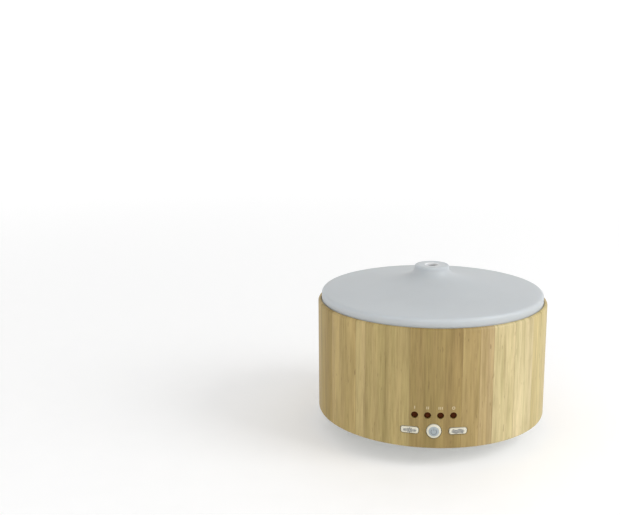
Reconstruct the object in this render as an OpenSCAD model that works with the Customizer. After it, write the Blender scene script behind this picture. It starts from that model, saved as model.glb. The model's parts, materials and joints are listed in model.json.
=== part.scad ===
// Ultrasonic essential oil diffuser: a bamboo sleeve over a white water tank, with a frosted lid.
// Millimetres. +Z is up, the front with the three buttons faces -Y, and the origin is on the table
// under the centre of the body.

/* [Sleeve] */
// Outside diameter of the bamboo sleeve
sleeve_d = 168; // [140:1:202]
// Height of the bamboo sleeve
sleeve_h = 84; // [70:1:101]
// Wall of the bamboo sleeve
sleeve_wall = 5; // [4:0.1:6]
// Wall of the sleeve's lip, which stands round the lid and round the base
sleeve_lip = 2.2; // [2:0.1:2.6]
// Radius of the sleeve's upper outer edge
sleeve_round = 2; // [1.6:0.1:2]
// Height of the sleeve's lower edge above the table
base_rise = 14; // [12:0.5:16]

/* [Lid] */
// Wall of the lid and its spout
lid_wall = 2.2; // [1.8:0.1:2.7]
// How far the lid's shoulder stands above the sleeve
lid_stand = 6.3; // [5:0.1:8]
// How far the lid sits down inside the sleeve's lip
lid_seat = 2; // [1.5:0.1:2.5]
// Radius of the lid's shoulder
lid_round = 2.6; // [2:0.1:3.2]
// Rise of the lid's shallow dome
dome_rise = 8.8; // [7:0.1:11]
// Outside diameter of the spout at its rim
spout_d = 25.4; // [21:0.1:31]
// Rise of the spout above the dome
spout_rise = 9.2; // [7.6:0.1:11.1]
// Reach of the spout's flare
flare_reach = 4.8; // [4:0.1:5.8]
// Diameter of the mist outlet
outlet_d = 9; // [7:0.5:11]

/* [Tank] */
// Wall of the tank and of the base
shell_wall = 2.2; // [1.8:0.1:2.7]
// Height of the electronics bay, from the sleeve's lower edge to the tank floor
bay_h = 30; // [30:1:36]
// Thickness of the tank's flange
flange_t = 2; // [1.6:0.1:2.4]
// Width of the ledge that carries the inner cover
ledge_w = 4; // [3:0.5:5]
// Depth of that ledge below the flange
ledge_depth = 12; // [10:0.5:14]
// Fall of the tank floor towards the atomiser
floor_fall = 4; // [3:0.5:5]
// Bore of the air tower
tower_bore = 18; // [15:0.5:20]

/* [Inner cover] */
// Wall of the inner cover
cover_wall = 1.6; // [1.3:0.1:2]
// Rise of the inner cover from its rim to the chimney
cover_rise = 8; // [6:0.5:10]
// Bore of the chimney
chimney_bore = 19; // [16:0.5:20]
// Height of the chimney
chimney_h = 14; // [11:0.5:16]

/* [Atomiser] */
// Diameter of the ultrasonic disc
disc_d = 20; // [17:0.5:24]
// Thickness of the ultrasonic disc
disc_t = 1.2; // [1:0.1:1.4]

/* [Fan] */
// Side of the square fan
fan_size = 30; // [25:1:36]
// Thickness of the fan
fan_t = 10; // [8:0.5:10]

/* [Control panel] */
// Length of the two side buttons
button_w = 12; // [10:0.1:13.2]
// Height of the two side buttons
button_h = 4.6; // [3.9:0.1:5.6]
// Diameter of the middle button
round_button_d = 10; // [8.4:0.1:12]
// Distance between neighbouring buttons
button_pitch = 16.2; // [16:0.1:17]
// Height of the buttons above the sleeve's lower edge
button_rise = 12.6; // [12:0.1:14]
// Travel of each button
button_travel = 0.5; // [0.4:0.05:0.6]
// Diameter of the indicator windows
window_d = 4.7; // [3.9:0.1:5.3]
// Distance between neighbouring indicators
window_pitch = 8.65; // [7.2:0.05:9.5]
// Height of the indicators above the sleeve's lower edge
window_rise = 23.6; // [23:0.1:25]

/* [Power inlet] */
// Diameter of the plug's way through the sleeve
inlet_d = 11; // [10:0.1:13]
// Bore of the socket
jack_bore = 6; // [5:0.1:7]

/* [Base] */
// Radius of the foot of the base
foot_r = 48; // [44:1:50]
// Diameter of a rubber foot
pad_d = 11; // [9:0.5:13]
// How far a rubber foot stands out of the base
pad_stand = 2; // [1.5:0.1:2.5]

/* [Hidden] */
$fn = 96;

// Clearances
slip_gap = 0.3;    // between moulded parts that are lifted out or pushed in
seat_gap = 0.1;    // between a part and the seat that carries it
thread_gap = 0.05; // between a screw and its moulded hole
lid_gap = 0.4;     // round the lid, inside the sleeve's lip
press_gap = 0.35;  // round a button, in the sleeve and in the panel
rest_gap = 0.3;    // under a part that is lifted off

// Sleeve
sleeve_r = sleeve_d / 2;
sleeve_ri = sleeve_r - sleeve_wall;
sleeve_z0 = base_rise;
sleeve_z1 = base_rise + sleeve_h;

// Tank
flange_r = sleeve_r - sleeve_lip - lid_gap;
flange_z1 = sleeve_z1 - lid_seat;
flange_z0 = flange_z1 - flange_t;
mouth_r = sleeve_ri - slip_gap - 1.5 - shell_wall;
ledge_z = flange_z1 - ledge_depth;
body_r = mouth_r - ledge_w;
floor_z = sleeve_z0 + bay_h;
floor_t = 2.4;
lid_z0 = flange_z1 + rest_gap;
cover_z0 = ledge_z + rest_gap;
well_r = 14;
floor_r = body_r - 7;
floor_edge_z = floor_z + floor_fall;
body_foot_r = body_r - 3;
body_foot_z = floor_edge_z + 5;

// Atomiser, under the middle of the tank floor
disc_r = disc_d / 2;
disc_lip = 1.5;
seal_wall = 2;
seal_r = disc_r + seal_wall;
seal_h = disc_t + 2.4;
pocket_r = seal_r + 0.2;
pocket_z1 = floor_z - 3;
pocket_z0 = pocket_z1 - seal_h;
seat_r = pocket_r + 4.8;
clamp_t = 2;
clamp_hole_r = pocket_r + 2.4;
clamp_z0 = pocket_z0 - clamp_t;
disc_z = pocket_z0 + (seal_h - disc_t) / 2;

// Mood light board, a ring round the atomiser's seat
mood_ri = seat_r + 0.6;
mood_w = 6.4;
mood_ro = mood_ri + mood_w;
mood_mid = mood_ri + mood_w / 2;
mood_t = 1;
mood_z1 = floor_z - 7;
mood_z0 = mood_z1 - mood_t;

// Fan and air tower
fan_angle = 144;
fan_dist = mood_ro + 2 + fan_size / 2;
fan_pos = [fan_dist * cos(fan_angle), fan_dist * sin(fan_angle)];
fan_bore_r = fan_size / 2 - 1.2;
fan_hole = fan_size / 2 - 2.8;
fan_hub_r = 6.5;
fan_plate = 1.2;
bearing_r = 2;
shaft_r = 1;
stator_r = 5;
gasket_t = 1;
plenum_z0 = floor_z - 6.4;
fan_z1 = plenum_z0 - gasket_t;
fan_z0 = fan_z1 - fan_t;
tower_r = tower_bore / 2;
tower_wall = 1.8;
tower_z1 = ledge_z - 9;
fill_z = tower_z1 - 8;

// Base
plate_t = 2.5;
plate_z1 = sleeve_z0 + plate_t;
plate_r = sleeve_r - sleeve_lip - 0.8 - slip_gap;
base_floor_z = pad_stand + shell_wall;
pedestal_r = foot_r + 6;
pad_seat = 1;
cavity_r = pedestal_r - shell_wall;

// Screws: shank radius, head radius and head height
screw = [1.3, 2.6, 1.6];
small_screw = [0.95, 1.9, 1.2];

// Long bosses that hold the base under the tank
boss_r = 3.6;
boss_ring_r = sleeve_ri - 11;
boss_angles = [55, 125, 235, 305];
boss_z0 = plate_z1 + 2.5;
head_z = sleeve_z0 + 2.6;

// Main board
board_t = 1.6;
board_z0 = sleeve_z0 + 6.6;
board_z1 = board_z0 + board_t;
board_x = [-12, 33];
board_y0 = -20;
jack_size = [9, 14, 11];
jack_face_y = sleeve_ri - 1.5;
board_y1 = jack_face_y - 2;
jack_z = board_z1 + jack_size[2] / 2;
jack_depth = 10;
board_posts = [[-8, -16], [28, -16], [-8, 38], [28, 28]];
board_rests = [[-8, 68], [8, 68]];
post_r = 3;
transistor_pos = [17, 55];
inductor_pos = [[-4, 26], [8, 26]];
// Each capacitor: place, radius and height
capacitor_pos = [[16, 42, 5, 13], [4, 42, 4, 11], [-5, 52, 3.2, 9]];
chip_pos = [[5, 6], [-5, 14]];
header_pos = [[10, -14], [-7, 3.6], [24, -4.8], [20, -16]];
header_h = 7;
header_top = board_z1 + header_h;

// Control panel. Distances d are measured from the axis towards the front.
button_z = sleeve_z0 + button_rise;
window_z = sleeve_z0 + window_rise;
panel_w = 54;
panel_t = 1.5;
panel_d1 = sqrt(pow(sleeve_ri - 0.6, 2) - pow(panel_w / 2, 2));
panel_d0 = panel_d1 - panel_t;
panel_z1 = floor_z;
flange_step = 1.2;
button_flange_t = 1.2;
button_back_d = panel_d0 - 0.2 - button_flange_t;
button_proud = 0.8;
button_round = 1.6;
plunger_stand = 1.3;
plunger_r = 1.7;
plunger_well = 1.4;
switch_size = [6, 6, 3.6];
panel_board_d1 = button_back_d - seat_gap - plunger_stand - switch_size[2];
panel_board_w = panel_w - 6;
panel_board_t = 1.2;
panel_board_z = [plate_z1 + 1.2, floor_z - 0.7];
window_recess = 1;
guide_t = 1.5;
panel_post_x = panel_w / 2 - 5;
panel_posts = [button_z - 6.4, window_z + 2.4];
panel_post_r = 2.2;
led_h = panel_d0 - panel_board_d1 + 1;
button_x = [-button_pitch, 0, button_pitch];

// Routes of the leads, from the part they feed to their header, and the offset to the second lead
lead_r = 0.6;
lead_end = 0.15;
atomiser_route = [[2, 0, disc_z - lead_end], [2, 0, 36], [6, -9, 33], [8.8, -14, 31],
                  [8.8, -14, header_top + lead_end]];
fan_route = [[-27, 10, fan_z0 - lead_end], [-27, 10, 25], [-18, 6, 27], [-8, 3, 32],
             [-8, 3, header_top + lead_end]];
mood_route = [[20, -6, mood_z0 - lead_end], [20, -6, 34.4], [22, -6, 32.5], [24, -6, 31],
              [24, -6, header_top + lead_end]];
panel_route = [[8, -(panel_board_d1 - panel_board_t - lead_end), 34], [8, -60, 34], [14, -36, 32],
               [18.8, -16, 31.6], [18.8, -16, header_top + lead_end]];

// Lid
lid_r = flange_r;
shoulder_z = sleeve_z1 + lid_stand;
dome_r = lid_r - lid_round;
spout_r = spout_d / 2;
spout_round = 1.6;
dome_power = 1.2;
flare_power = 0.6;
spout_z1 = lid_height(spout_r) + spout_round;
locator_r = mouth_r - 0.6;
locator_drop = 8;

// Inner cover
cover_r = mouth_r - 0.6;
chimney_r = chimney_bore / 2;
cover_flat_w = 6;
cover_z1 = cover_z0 + cover_rise + chimney_h;

// Height of the lid's outer surface at radius r: a shallow dome, and a stretched exponential that flares
// up to the spout and meets it upright
function lid_height(r) = shoulder_z + dome_rise * (1 - pow(r / dome_r, dome_power))
    + spout_rise * exp(-pow(max(0, r - spout_r) / flare_reach, flare_power));

// Slope angle of that surface
function lid_slope(r) = atan((lid_height(r - 0.05) - lid_height(r + 0.05)) / 0.1);

// A point of the lid's surface moved inwards by t, square to the surface
function lid_point(r, t) = [r - t * sin(lid_slope(r)), lid_height(r) - t * cos(lid_slope(r))];

// Radii at which the lid's curve is sampled, closer together near the spout
lid_steps = 36;
function lid_radius(i) = spout_r + (dome_r - spout_r) * pow(i / lid_steps, 2.4);

// A curve through the points p, as a Catmull-Rom spline with n steps between neighbours
function spline_at(a, b, c, d, t) = 0.5 * (2 * b + (c - a) * t
    + (2 * a - 5 * b + 4 * c - d) * t * t + (3 * b - a - 3 * c + d) * t * t * t);
function spline(p, n) = [
    for (i = [0:len(p) - 2]) for (k = [0:n - 1])
        spline_at(p[max(i - 1, 0)], p[i], p[i + 1], p[min(i + 2, len(p) - 1)], k / n),
    p[len(p) - 1]
];
function unit(v) = v / norm(v);

// Points of a circular arc with centre c, in n steps from angle a to angle b
function arc(c, r, a, b, n) = [for (k = [0:n]) let (t = a + (b - a) * k / n) c + r * [cos(t), sin(t)]];

function tangents(c, p) = [for (i = [0:len(c) - 1])
    i == 0 ? unit(p[1] - p[0])
    : i == len(c) - 1 ? unit(p[len(p) - 1] - p[len(p) - 2])
    : unit(c[i + 1] - c[i - 1])];

// Normals carried along the curve with no twist
function carried(t, u, i = 0, out = []) = i == len(t) ? out
    : let (v = unit(u - (u * t[i]) * t[i])) carried(t, v, i + 1, concat(out, [v]));

// ---- shared shapes ----

// A round-cornered rectangle of true arcs, centred
module rounded_rect(w, h, r) {
    square([w - 2 * r, h], center = true);
    square([w, h - 2 * r], center = true);
    for (x = [-1, 1], y = [-1, 1]) translate([x * (w / 2 - r), y * (h / 2 - r)]) circle(r);
}

// Stands its children up to face the front: drawn height becomes Z, and drawn depth runs outwards from d
module facing_front(x, d, z) translate([x, -d, z]) rotate([90, 0, 0]) children();

// A pan-headed screw whose head sits on z = 0, with its shank pointing up
module screw_up(s, length) {
    translate([0, 0, -s[2]]) cylinder(r = s[1], h = s[2]);
    cylinder(r = s[0], h = length);
}

// A round wire swept along a smooth route through the points p
module wire(p, r, steps = 2, sides = 8) {
    c = spline(p, steps);
    t = tangents(c, p);
    u = carried(t, abs(t[0][2]) > 0.8 ? [1, 0, 0] : [0, 0, 1]);
    n = len(c);
    polyhedron(
        points = [for (i = [0:n - 1], k = [0:sides - 1])
            c[i] + r * (cos(360 * k / sides) * u[i] + sin(360 * k / sides) * cross(t[i], u[i]))],
        faces = concat(
            [[for (k = [0:sides - 1]) sides - 1 - k]],
            [[for (k = [0:sides - 1]) (n - 1) * sides + k]],
            [for (i = [0:n - 2], k = [0:sides - 1]) let (j = (k + 1) % sides)
                [i * sides + k, i * sides + j, (i + 1) * sides + j, (i + 1) * sides + k]]));
}

// Two parallel leads, one beside the other
module lead_pair(p, side) {
    wire(p, lead_r);
    wire([for (q = p) q + side], lead_r);
}

// Outline of the button at place i: a long side button or the round middle one, grown by g
module button_outline(i, g = 0) {
    if (i == 1) circle(round_button_d / 2 + g);
    else rounded_rect(button_w + 2 * g, button_h + 2 * g, button_round + g);
}

module at_windows() {
    for (k = [-1.5:1.5]) facing_front(k * window_pitch, 0, window_z) children();
}

module at_bosses() {
    for (a = boss_angles) translate([boss_ring_r * cos(a), boss_ring_r * sin(a), 0]) children();
}

module at_fan() translate(fan_pos) rotate(fan_angle) children();

module at_fan_holes() {
    at_fan() for (x = [-1, 1], y = [-1, 1]) translate([x * fan_hole, y * fan_hole]) children();
}

module at_clamp_holes() {
    for (a = [30, 150, 270]) rotate(a) translate([clamp_hole_r, 0]) children();
}

module at_mood_holes() {
    for (a = [90, 210, 330]) rotate(a) translate([mood_mid, 0]) children();
}

module at_board_posts() {
    for (p = board_posts) translate(p) children();
}

module at_pads() {
    for (a = [45:90:315]) rotate(a) translate([foot_r - 3.5 - pad_d / 2, 0]) children();
}

module at_panel_posts() {
    for (x = [-1, 1], z = panel_posts) facing_front(x * panel_post_x, 0, z) children();
}

// ---- outside ----

module lid_profile() {
    spout_edge = [outlet_d / 2, spout_z1];
    spout_rim = [spout_r - spout_round, spout_z1 - spout_round];
    shoulder = [dome_r, shoulder_z - lid_round];
    polygon(concat(
        [[lid_r, lid_z0]],
        arc(shoulder, lid_round, 0, 84, 7),
        [for (i = [lid_steps:-1:0]) [lid_radius(i), lid_height(lid_radius(i))]],
        arc(spout_rim, spout_round, 10, 90, 6),
        [spout_edge + [0.8, 0], spout_edge - [0, 0.8], spout_edge - [0, lid_wall]],
        [for (i = [0:lid_steps], p = [lid_point(lid_radius(i), lid_wall)]) if (p[1] < spout_z1 - lid_wall) p],
        arc(shoulder, lid_round - lid_wall, 84, 0, 3),
        [[lid_r - lid_wall, lid_z0]]));
}

module lid() color("ghostwhite") {
    rotate_extrude() {
        lid_profile();
        // Ring that drops into the tank's mouth
        translate([locator_r - lid_wall, lid_z0 - locator_drop])
            square([lid_wall, lid_point(locator_r, lid_wall)[1] + 0.8 - lid_z0 + locator_drop]);
    }
}

module inner_cover() color("white") difference() {
    chimney_ro = chimney_r + cover_wall;
    flat_r = cover_r - cover_flat_w;
    union() {
        rotate_extrude() polygon([
            [cover_r, cover_z0], [cover_r, cover_z0 + cover_wall], [flat_r, cover_z0 + cover_wall],
            [chimney_ro, cover_z0 + cover_wall + cover_rise], [chimney_ro, cover_z1],
            [chimney_r, cover_z1], [chimney_r, cover_z0 + cover_rise], [flat_r, cover_z0]
        ]);
        // Rib that stiffens the rim
        rotate_extrude() translate([flat_r - 1, cover_z0 + 0.3]) square([cover_wall, cover_wall + 1.4]);
    }
    // Drain holes, which let condensed water back into the tank
    for (a = [0:45:315]) rotate(a) translate([flat_r - 6, 0, ledge_z - 1]) cylinder(r = 2, h = 8);
}

module sleeve_profile() {
    difference() {
        translate([sleeve_ri, sleeve_z0]) square([sleeve_wall, sleeve_h]);
        // Step for the tank's flange and the lid
        translate([sleeve_ri - 1, flange_z0]) square([sleeve_wall - sleeve_lip + 1, flange_z1]);
        // Step for the base
        translate([sleeve_ri - 1, sleeve_z0 - 1]) square([sleeve_wall - sleeve_lip + 0.2, plate_t + 1]);
        translate([sleeve_r - sleeve_round, sleeve_z1 - sleeve_round]) difference() {
            square(sleeve_round + 1);
            circle(sleeve_round);
        }
        translate([sleeve_r - 1, sleeve_z0 - 1]) difference() {
            square(2);
            translate([0, 2]) circle(1);
        }
    }
}

module wood_sleeve() color("burlywood") difference() {
    rotate_extrude() sleeve_profile();
    for (i = [0:2]) facing_front(button_x[i], sleeve_ri - 8, button_z)
        linear_extrude(sleeve_wall + 10) button_outline(i, press_gap);
    at_windows() translate([0, 0, sleeve_ri - 8]) cylinder(d = window_d, h = sleeve_wall + 10);
    translate([0, sleeve_ri - 4, jack_z]) rotate([-90, 0, 0]) cylinder(d = inlet_d, h = sleeve_wall + 6);
}

// ---- tank ----

module tank_outline() polygon([
    [0, pocket_z0], [seat_r, pocket_z0], [seat_r, floor_z - floor_t],
    [floor_r + 1, floor_edge_z - floor_t], [body_foot_r + shell_wall, body_foot_z - 1],
    [body_r + shell_wall, ledge_z - shell_wall], [mouth_r + shell_wall, ledge_z - shell_wall],
    [mouth_r + shell_wall, flange_z0], [flange_r, flange_z0], [flange_r, flange_z1], [0, flange_z1]
]);

module tank_cavity() polygon([
    [0, floor_z], [well_r, floor_z], [floor_r, floor_edge_z], [body_foot_r, body_foot_z],
    [body_r, ledge_z], [mouth_r, ledge_z], [mouth_r, flange_z1 + 1], [0, flange_z1 + 1]
]);

module water_tank() color("whitesmoke") difference() {
    union() {
        difference() {
            union() {
                rotate_extrude() tank_outline();
                at_bosses() translate([0, 0, boss_z0]) cylinder(r = boss_r, h = floor_edge_z + 4 - boss_z0);
                at_mood_holes() translate([0, 0, mood_z1]) cylinder(r = 2.2, h = floor_z - mood_z1);
                at_fan() translate([0, 0, plenum_z0]) linear_extrude(floor_edge_z - plenum_z0)
                    rounded_rect(fan_size, fan_size, 2);
            }
            rotate_extrude() tank_cavity();
        }
        // Air tower
        translate([fan_pos[0], fan_pos[1], plenum_z0])
            cylinder(r = tower_r + tower_wall, h = tower_z1 - plenum_z0);
        // Fill line, a low rib inside the wall
        rotate_extrude() translate([body_r - 1.4, fill_z]) square([1.6, 0.8]);
    }
    cylinder(r = disc_r - disc_lip, h = floor_z + 1);
    translate([0, 0, pocket_z0 - 1]) cylinder(r = pocket_r, h = seal_h + 1);
    at_clamp_holes() translate([0, 0, pocket_z0 - 1]) cylinder(r = small_screw[0] + thread_gap, h = 5);
    at_mood_holes() translate([0, 0, mood_z1 - 1]) cylinder(r = small_screw[0] + thread_gap, h = 5);
    at_fan_holes() translate([0, 0, plenum_z0 - 1]) cylinder(r = screw[0] + thread_gap, h = 5);
    at_bosses() translate([0, 0, boss_z0 - 1]) cylinder(r = screw[0] + thread_gap, h = 15);
    translate([fan_pos[0], fan_pos[1], plenum_z0 - 1]) {
        cylinder(r = fan_bore_r - 0.6, h = 4.4);
        cylinder(r = tower_r, h = tower_z1);
    }
}

// Hood on the air tower: a plug with four legs and a roof, so that spray can't fall onto the fan
module air_tower_cap() color("white") translate([fan_pos[0], fan_pos[1], 0]) {
    collar_r = tower_r - seat_gap;
    roof_z = tower_z1 + 5.6;
    difference() {
        union() {
            translate([0, 0, tower_z1 - 6]) cylinder(r = collar_r, h = roof_z + 0.1 - tower_z1 + 6);
            translate([0, 0, roof_z]) cylinder(r = tower_r + tower_wall + 1.4, h = 1.5);
        }
        translate([0, 0, tower_z1 - 7]) cylinder(r = collar_r - 1.3, h = roof_z - tower_z1 + 7);
        for (a = [0:90:270]) rotate(a) translate([0, -collar_r * 0.5, tower_z1 - 0.5])
            cube([collar_r + 1, collar_r, roof_z - tower_z1 + 0.5]);
    }
}

// ---- base ----

module base_outline() polygon(concat(
    [[0, pad_stand], [foot_r - 2.5, pad_stand]],
    [for (a = [-70:14:0]) [foot_r - 2.5 + 2.5 * cos(a), pad_stand + 2.5 + 2.5 * sin(a)]],
    [for (t = [0.25:0.25:1]) [foot_r + (pedestal_r - foot_r) * pow(t, 1.6),
                              pad_stand + 2.5 + (sleeve_z0 - pad_stand - 2.5) * t]],
    [[plate_r, sleeve_z0], [plate_r, plate_z1], [0, plate_z1]]));

module base_cavity() polygon([
    [0, base_floor_z], [foot_r - 3.6, base_floor_z], [cavity_r - 1.6, sleeve_z0 - 1],
    [cavity_r, sleeve_z0 + 1], [cavity_r, plate_z1 + 1], [0, plate_z1 + 1]
]);

// Ribs that stand behind the panel carrier and hold it against the sleeve
module carrier_ribs() {
    for (x = [-1, 1]) translate([x * (panel_w / 2) - 2, -(panel_d0 - seat_gap), plate_z1 - 0.5])
        cube([4, 3, panel_z1 - plate_z1 - 8]);
}

module base_shell() color("white") difference() {
    union() {
        difference() {
            rotate_extrude() base_outline();
            rotate_extrude() base_cavity();
            // Air intake, three rings of slots in the underside
            for (ring = [14, 21, 28], a = [0:30:330]) rotate(a)
                translate([ring, 0, pad_stand - 1])
                    linear_extrude(shell_wall + 2) rounded_rect(4.4, 2.4, 1.15);
        }
        at_bosses() translate([0, 0, sleeve_z0 + 0.5])
            cylinder(r = boss_r + 1.8, h = boss_z0 - sleeve_z0 - 0.5);
        at_board_posts() translate([0, 0, base_floor_z - 0.5])
            cylinder(r = post_r, h = board_z0 - base_floor_z + 0.5);
        for (p = board_rests) translate([p[0], p[1], plate_z1 - 0.5])
            cylinder(r = 2, h = board_z0 - plate_z1 + 0.5);
        carrier_ribs();
    }
    // Screw holes and their counterbores
    at_bosses() {
        translate([0, 0, sleeve_z0 - 1]) cylinder(r = screw[0] + 0.4, h = 10);
        translate([0, 0, sleeve_z0 - 1]) cylinder(r = screw[1] + 0.4, h = head_z - sleeve_z0 + 1);
    }
    at_board_posts() translate([0, 0, board_z0 - 6]) cylinder(r = small_screw[0] + thread_gap, h = 7);
    // Seats of the rubber feet
    at_pads() translate([0, 0, pad_stand - 1]) cylinder(d = pad_d + 2 * seat_gap, h = 1 + pad_seat);
}

module rubber_feet() color("dimgray") at_pads() rotate_extrude() polygon([
    [0, 0], [pad_d / 2 - 0.8, 0], [pad_d / 2, 0.8],
    [pad_d / 2, pad_stand + pad_seat], [0, pad_stand + pad_seat]
]);

module base_screws() color("silver") at_bosses() translate([0, 0, head_z]) screw_up(screw, 12);

// ---- atomiser ----

module atomiser_disc() color("lightgray") translate([0, 0, disc_z]) {
    cylinder(r = disc_r, h = disc_t);
}

module atomiser_seal() color("dimgray") difference() {
    translate([0, 0, pocket_z0]) cylinder(r = seal_r, h = seal_h);
    translate([0, 0, pocket_z0 - 1]) cylinder(r = disc_r - disc_lip, h = seal_h + 2);
    translate([0, 0, disc_z]) cylinder(r = disc_r, h = disc_t);
}

module atomiser_clamp() color("white") translate([0, 0, clamp_z0]) difference() {
    cylinder(r = seat_r, h = clamp_t);
    translate([0, 0, -1]) cylinder(r = disc_r - disc_lip - 1, h = clamp_t + 2);
    at_clamp_holes() translate([0, 0, -1]) cylinder(r = small_screw[0] + 0.25, h = clamp_t + 2);
}

module clamp_screws() color("silver") at_clamp_holes() translate([0, 0, clamp_z0]) screw_up(small_screw, 5);

// ---- mood light ----

module mood_light_board() color("darkgreen") translate([0, 0, mood_z0]) difference() {
    cylinder(r = mood_ro, h = mood_t);
    translate([0, 0, -1]) cylinder(r = mood_ri, h = mood_t + 2);
    at_mood_holes() translate([0, 0, -1]) cylinder(r = small_screw[0] + 0.25, h = mood_t + 2);
}

module mood_leds() color("ivory") for (a = [30:40:350]) rotate(a) translate([mood_mid, 0, mood_z1]) {
    translate([-1.75, -1.4, 0]) cube([3.5, 2.8, 1.4]);
    translate([0, 0, 1.4]) cylinder(r = 1.1, h = 0.2);
}

module mood_board_screws() color("silver")
    at_mood_holes() translate([0, 0, mood_z0]) screw_up(small_screw, 4);

// ---- fan ----

module fan_frame() color("dimgray") at_fan() translate([0, 0, fan_z0]) difference() {
    union() {
        difference() {
            linear_extrude(fan_t) rounded_rect(fan_size, fan_size, 2);
            translate([0, 0, -1]) cylinder(r = fan_bore_r, h = fan_t + 2);
        }
        // Struts, hub plate and bearing tube
        for (a = [0, 120, 240]) rotate(a) translate([0, -1, 0]) cube([fan_bore_r + 0.6, 2, fan_plate]);
        cylinder(r = fan_hub_r, h = fan_plate);
        cylinder(r = bearing_r, h = fan_t - 3);
    }
    translate([0, 0, fan_plate]) cylinder(r = shaft_r + 0.05, h = fan_t);
    for (x = [-1, 1], y = [-1, 1]) translate([x * fan_hole, y * fan_hole, -1])
        cylinder(r = screw[0] + 0.2, h = fan_t + 2);
}

module fan_stator() color("orange") at_fan() translate([0, 0, fan_z0 + fan_plate + 0.3]) difference() {
    union() {
        cylinder(r = bearing_r + 1.2, h = 4);
        for (a = [0:90:270]) rotate(a)
            translate([bearing_r, -1.2, 0.6]) cube([stator_r - bearing_r, 2.4, 2.8]);
        difference() {
            cylinder(r = stator_r, h = 4);
            translate([0, 0, -1]) cylinder(r = stator_r - 0.7, h = 6);
            for (a = [45:90:315]) rotate(a) translate([0, -0.5, -1]) cube([fan_hub_r, 1, 6]);
        }
    }
    translate([0, 0, -1]) cylinder(r = bearing_r + 0.05, h = 6);
}

module fan_rotor() color("black") at_fan() translate([0, 0, fan_z0]) {
    rim_z = fan_plate + 0.5;
    top_z = fan_t - 0.6;
    difference() {
        translate([0, 0, rim_z]) cylinder(r = fan_hub_r, h = top_z - rim_z);
        translate([0, 0, rim_z - 1]) cylinder(r = fan_hub_r - 0.9, h = top_z - rim_z);
    }
    translate([0, 0, fan_plate + 0.3]) cylinder(r = shaft_r, h = top_z - fan_plate - 0.5);
    intersection() {
        for (a = [0:360 / 7:359]) rotate(a) translate([fan_hub_r - 0.4, 0, fan_t / 2 + 0.3])
            rotate([38, 0, 0]) translate([0, -0.4, -6]) cube([fan_bore_r, 0.8, 12]);
        translate([0, 0, rim_z + 0.3]) cylinder(r = fan_bore_r - 0.6, h = top_z - rim_z - 0.6);
    }
}

module fan_gasket() color("gray") at_fan() translate([0, 0, fan_z1]) difference() {
    linear_extrude(gasket_t) rounded_rect(fan_size, fan_size, 2);
    translate([0, 0, -1]) cylinder(r = fan_bore_r, h = gasket_t + 2);
    for (x = [-1, 1], y = [-1, 1]) translate([x * fan_hole, y * fan_hole, -1])
        cylinder(r = screw[0] + 0.2, h = gasket_t + 2);
}

module fan_screws() color("silver") at_fan_holes() translate([0, 0, fan_z0])
    screw_up(screw, fan_t + gasket_t + 3.5);

// ---- main board ----

module board_outline() intersection() {
    translate([board_x[0], board_y0]) square([board_x[1] - board_x[0], board_y1 - board_y0]);
    circle(sleeve_ri - 3);
    // Clear of the long boss beside it
    difference() {
        circle(sleeve_ri);
        translate([boss_ring_r * cos(boss_angles[0]), boss_ring_r * sin(boss_angles[0])]) circle(boss_r + 4);
    }
}

module main_board() color("darkgreen") difference() {
    translate([0, 0, board_z0]) linear_extrude(board_t) board_outline();
    at_board_posts() translate([0, 0, board_z0 - 1]) cylinder(r = small_screw[0] + 0.25, h = board_t + 2);
}

module dc_jack() color("black") translate([0, jack_face_y, board_z1]) difference() {
    union() {
        translate([-jack_size[0] / 2, -jack_size[1], 0]) cube([jack_size[0], jack_size[1], jack_size[2]]);
        translate([0, -jack_size[1] - 1, jack_size[2] / 2]) rotate([-90, 0, 0]) cylinder(r = 3.4, h = 1.5);
    }
    translate([0, -jack_depth, jack_size[2] / 2]) rotate([-90, 0, 0])
        cylinder(d = jack_bore, h = jack_depth + 1);
}

module jack_pin() color("gold") translate([0, jack_face_y - jack_depth, jack_z])
    rotate([-90, 0, 0]) cylinder(r = 1, h = jack_depth - 1.5);

module power_transistor() color("black") translate([transistor_pos[0], transistor_pos[1], board_z1]) {
    translate([-5, -2.2, 3]) cube([10, 4.4, 9.2]);
    translate([-5, 0.9, 12]) cube([10, 1.3, 3.4]);
    for (x = [-2.54, 0, 2.54]) translate([x - 0.4, -0.3, 0]) cube([0.8, 0.6, 3.1]);
}

module heat_sink() color("silver") translate([transistor_pos[0], transistor_pos[1] + 2.2, board_z1]) {
    translate([-8, 0, 0]) cube([16, 1.8, 16]);
    for (x = [-8:3.6:6.4]) translate([x, 1.7, 0]) cube([1.2, 6, 16]);
}

module inductors() color("chocolate") for (p = inductor_pos) translate([p[0], p[1], board_z1]) {
    cylinder(r = 4.4, h = 1.2);
    cylinder(r = 3.6, h = 8);
    translate([0, 0, 7]) cylinder(r = 4.4, h = 1.2);
}

module capacitors() color("darkslateblue") for (p = capacitor_pos) translate([p[0], p[1], board_z1])
    rotate_extrude() polygon([
        [0, 0], [p[2], 0], [p[2], 1], [p[2] - 0.3, 1.4], [p[2], 1.8],
        [p[2], p[3] - 0.4], [p[2] - 0.4, p[3]], [0, p[3]]
    ]);

// A small flat chip with four legs a side
module driver_chips() color("black") for (p = chip_pos) translate([p[0], p[1], board_z1]) {
    translate([-2, -2.5, 0.2]) cube([4, 5, 1.5]);
    for (x = [-1, 1], k = [-1.5:1.5]) translate([x * 2.4 - 0.6, k * 1.27 - 0.2, 0]) cube([1.2, 0.4, 0.6]);
}

// Four headers, each with its plug housing
module board_headers() color("ivory") for (p = header_pos) translate([p[0], p[1], board_z1]) {
    translate([-3.8, -2.6, 0]) cube([7.6, 5.2, header_h - 2]);
    translate([-3.2, -2, 0]) cube([6.4, 4, header_h]);
}

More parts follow.
